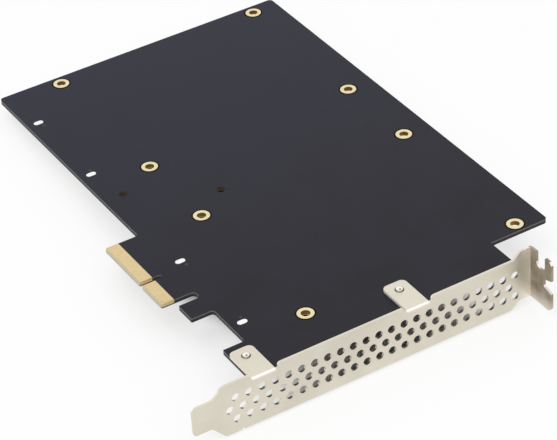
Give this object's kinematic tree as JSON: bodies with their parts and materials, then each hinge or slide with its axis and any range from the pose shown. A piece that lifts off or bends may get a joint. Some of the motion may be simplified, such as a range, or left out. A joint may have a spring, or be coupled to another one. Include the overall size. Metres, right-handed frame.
{
  "type": "sata raid card",
  "caption": "Expansion card for 2.5 inch drives: a dark bare board seen from its solder side, with a gold card edge, ringed drive holes and a vented slot bracket.",
  "frame": {"origin": "tip of the card edge, in the middle of its key notch and of the board's thickness", "axes": "+X along the board towards the bracket, +Y from the card edge to the top edge, +Z out of the solder side"},
  "size_m": [0.1896, 0.1361, 0.0209],
  "materials": {
    "board": "satin solder mask",
    "gold": "thin gold plate",
    "bracket_steel": "satin nickel plate",
    "screw_steel": "nickel plate",
    "black_plastic": "moulded",
    "chip_mould": "fine matt mould",
    "tin": "bright tin",
    "ferrite": "pressed powder",
    "capacitor_mould": "moulded",
    "ceramic": "fired",
    "lamp": "clear lens"
  },
  "bodies": {
    "root": {"circuit_board": "board", "edge_contacts_solder_side": "gold", "edge_contacts_component_side": "gold", "drive_hole_barrels": "gold", "bracket": "bracket_steel", "bracket_screws": "screw_steel", "sata_housing_far": "black_plastic", "sata_housing_near": "black_plastic", "sata_contacts_far": "gold", "sata_contacts_near": "gold", "sata_board_locks": "tin", "controller_chip": "chip_mould", "controller_leads": "tin", "flash_chip": "chip_mould", "flash_leads": "tin", "buck_converter_chip": "chip_mould", "buck_converter_leads": "tin", "regulator_chip": "chip_mould", "regulator_leads": "tin", "crystal": "tin", "power_inductors": "ferrite", "bulk_capacitors": "capacitor_mould", "ceramic_capacitors": "ceramic", "coupling_capacitors": "ceramic", "resistors": "chip_mould", "status_lamps": "lamp"}
  },
  "joints": []
}
